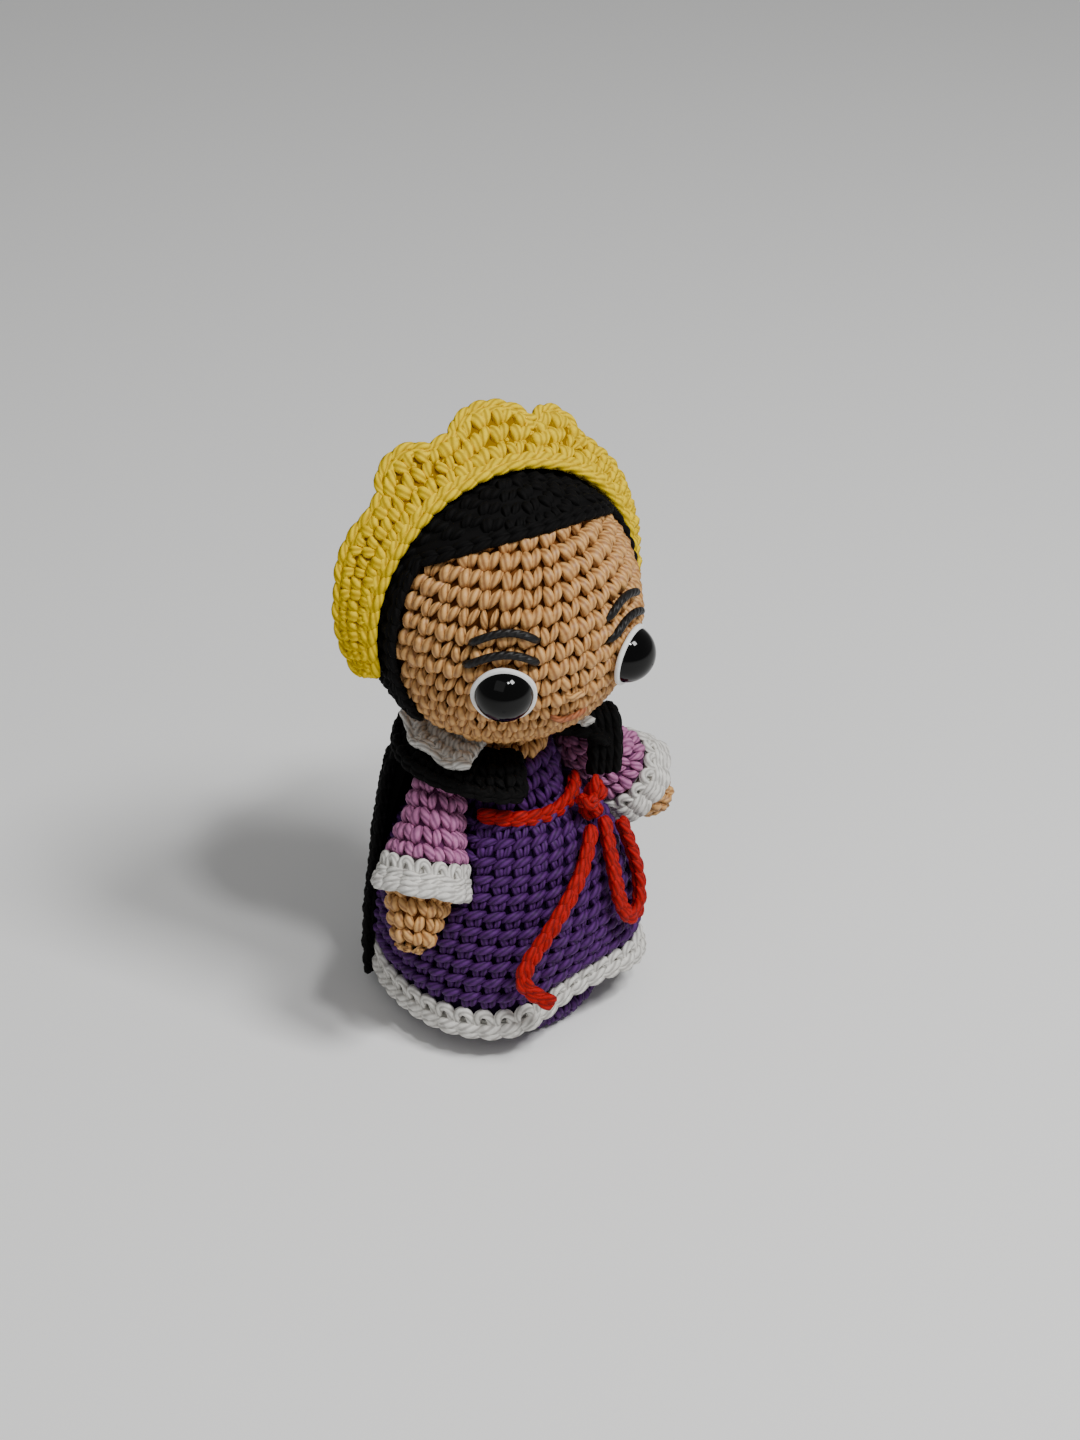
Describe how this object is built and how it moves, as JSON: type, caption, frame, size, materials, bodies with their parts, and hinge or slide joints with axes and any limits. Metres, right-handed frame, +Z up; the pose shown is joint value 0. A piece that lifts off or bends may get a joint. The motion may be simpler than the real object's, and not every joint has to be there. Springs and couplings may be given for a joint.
{
  "type": "crocheted doll",
  "caption": "Small stuffed crocheted doll in a dress, crown and cape, standing on a flat base, with a turning head, sewn arms that swing up and a cape that lifts.",
  "frame": {"origin": "centre of the flat face that the doll stands on", "axes": "+Z up the body, -Y the way the doll faces, +X to its left side"},
  "size_m": [0.054, 0.0429, 0.0954],
  "materials": {
    "skin_yarn": "crocheted acrylic yarn, soft sheen",
    "black_yarn": "crocheted acrylic yarn, matt",
    "purple_yarn": "crocheted acrylic yarn, soft sheen",
    "lilac_yarn": "crocheted acrylic yarn, soft sheen",
    "white_yarn": "crocheted cotton yarn",
    "red_yarn": "chain-stitch cord",
    "yellow_yarn": "crocheted acrylic yarn",
    "eye_plastic": "polished moulded plastic",
    "white_felt": "craft felt",
    "black_thread": "embroidery thread",
    "mouth_thread": "embroidery thread",
    "fibrefill": "polyester fibrefill",
    "washer_plastic": "moulded polythene",
    "base_board": "cut plastic sheet"
  },
  "bodies": {
    "body": {"base_disc": "base_board", "belt_cord": "red_yarn", "belt_knot": "red_yarn", "body_shell": "purple_yarn", "body_stuffing": "fibrefill", "cape_thread": "black_thread", "cape_yoke": "black_yarn", "collar": "white_yarn", "hem_trim": "white_yarn", "neck_stuffing": "fibrefill", "neck_tube": "skin_yarn", "sash_tail_left": "red_yarn", "sash_tail_right": "red_yarn", "shoulder_thread_left": "black_thread", "shoulder_thread_right": "black_thread", "skirt": "purple_yarn"},
    "head": {"brow_left": "black_thread", "brow_right": "black_thread", "crown": "yellow_yarn", "eye_felt_left": "white_felt", "eye_felt_right": "white_felt", "eye_left": "eye_plastic", "eye_right": "eye_plastic", "eye_washer_left": "washer_plastic", "eye_washer_right": "washer_plastic", "hair_cap": "black_yarn", "head_shell": "skin_yarn", "head_stuffing": "fibrefill", "lash_left": "black_thread", "lash_right": "black_thread", "mouth_stitch": "mouth_thread", "nose_stitch": "skin_yarn"},
    "arm_right": {"arm_stuffing_right": "fibrefill", "cuff_right": "white_yarn", "hand_right": "skin_yarn", "sleeve_right": "lilac_yarn"},
    "arm_left": {"arm_stuffing_left": "fibrefill", "cuff_left": "white_yarn", "hand_left": "skin_yarn", "sleeve_left": "lilac_yarn"},
    "cape": {"cape_back": "black_yarn"}
  },
  "joints": [
    {"name": "head_turn", "type": "hinge", "parent": "body", "child": "head", "pos_m": [0, 0, 0.0492], "axis": [0, 0, 1], "range_deg": [-20, 20]},
    {"name": "arm_right_raise", "type": "hinge", "parent": "body", "child": "arm_right", "pos_m": [-0.0129, -0.0016, 0.0393], "axis": [0, 1, 0], "range_deg": [0, 40]},
    {"name": "arm_left_raise", "type": "hinge", "parent": "body", "child": "arm_left", "pos_m": [0.0129, -0.0016, 0.0393], "axis": [0, -1, 0], "range_deg": [0, 40]},
    {"name": "cape_lift", "type": "hinge", "parent": "body", "child": "cape", "pos_m": [0, 0.0128, 0.0409], "axis": [1, 0, 0], "range_deg": [0, 45]}
  ]
}
